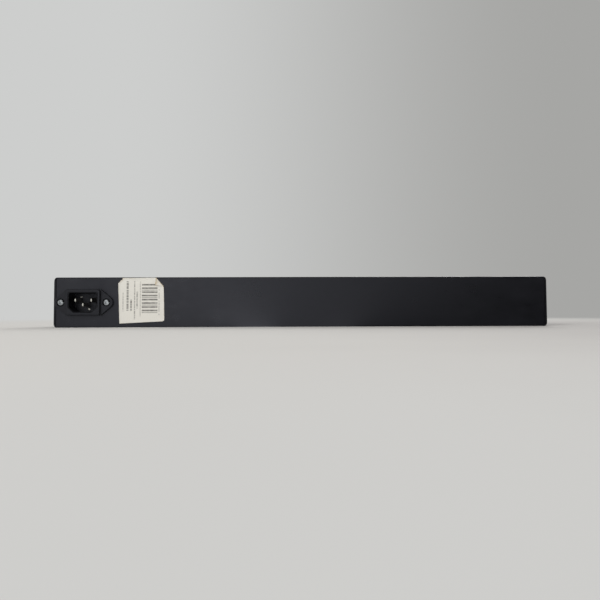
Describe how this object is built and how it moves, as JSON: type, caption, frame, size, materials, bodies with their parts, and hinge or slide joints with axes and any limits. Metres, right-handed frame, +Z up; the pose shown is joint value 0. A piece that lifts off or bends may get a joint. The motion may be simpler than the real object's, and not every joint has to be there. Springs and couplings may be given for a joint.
{
  "type": "rack power strip",
  "caption": "Rack power strip: extruded channel with mains outlet modules, rocker switch and reset breaker in front, and a mains inlet on the back.",
  "frame": {"origin": "middle of the underside of the whole part's box", "axes": "+X along the strip towards the end with the mains inlet, -Y out of the front with the outlets, +Y out of the back with the inlet and label, +Z up"},
  "size_m": [0.44, 0.057, 0.0444],
  "materials": {
    "black_coating": "satin black powder coat on extruded aluminium",
    "black_abs": "fine moulded texture",
    "black_nylon": "moulded, satin",
    "red_rocker": "polished moulding",
    "brass": "stamped strip",
    "nickel": "nickel plated, dull bright",
    "zinc_steel": "bright zinc plate",
    "label_paper": "uncoated, worn at the edges",
    "brown_wire": "insulated wire",
    "blue_wire": "insulated wire",
    "green_wire": "insulated wire, green with a yellow stripe"
  },
  "bodies": {
    "strip": {"housing_channel": "black_coating", "end_cap_left": "black_abs", "end_cap_right": "black_abs", "end_cap_left_screw_low": "zinc_steel", "end_cap_left_screw_high": "zinc_steel", "end_cap_right_screw_low": "zinc_steel", "end_cap_right_screw_high": "zinc_steel", "outlet_1": "black_nylon", "outlet_2": "black_nylon", "outlet_3": "black_nylon", "outlet_4": "black_nylon", "outlet_5": "black_nylon", "outlet_6": "black_nylon", "outlet_7": "black_nylon", "outlet_8": "black_nylon", "bus_bar_live": "brass", "bus_bar_neutral": "brass", "bus_bar_earth": "brass", "blank_plate": "black_nylon", "control_plate": "black_nylon", "switch_body": "black_nylon", "switch_terminal_live_in": "brass", "switch_terminal_live_out": "brass", "switch_terminal_neutral_in": "brass", "switch_terminal_neutral_out": "brass", "breaker_body": "black_nylon", "breaker_nut": "black_nylon", "breaker_terminal_in": "brass", "breaker_terminal_out": "brass", "inlet_body": "black_nylon", "inlet_pin_live": "nickel", "inlet_pin_neutral": "nickel", "inlet_pin_earth": "nickel", "inlet_screw_left": "zinc_steel", "inlet_screw_right": "zinc_steel", "inlet_nut_left": "zinc_steel", "inlet_nut_right": "zinc_steel", "earth_stud": "zinc_steel", "earth_nut": "zinc_steel", "earth_lug_inlet": "nickel", "earth_lug_bar": "nickel", "rear_label": "label_paper", "wire_live_inlet": "brown_wire", "wire_live_breaker": "brown_wire", "wire_live_switch": "brown_wire", "wire_neutral_inlet": "blue_wire", "wire_neutral_switch": "blue_wire", "wire_earth_inlet": "green_wire", "wire_earth_bar": "green_wire"},
    "rocker": {"switch_rocker": "red_rocker"},
    "button": {"reset_button": "black_nylon"}
  },
  "joints": [
    {"name": "rocker_tilt", "type": "hinge", "parent": "strip", "child": "rocker", "pos_m": [0.1078, -0.01934, 0.0222], "axis": [-1, 0, 0], "range_deg": [0, 20]},
    {"name": "button_slide", "type": "slide", "parent": "strip", "child": "button", "axis": [0, -1, 0], "range_m": [0, 0.004]}
  ]
}
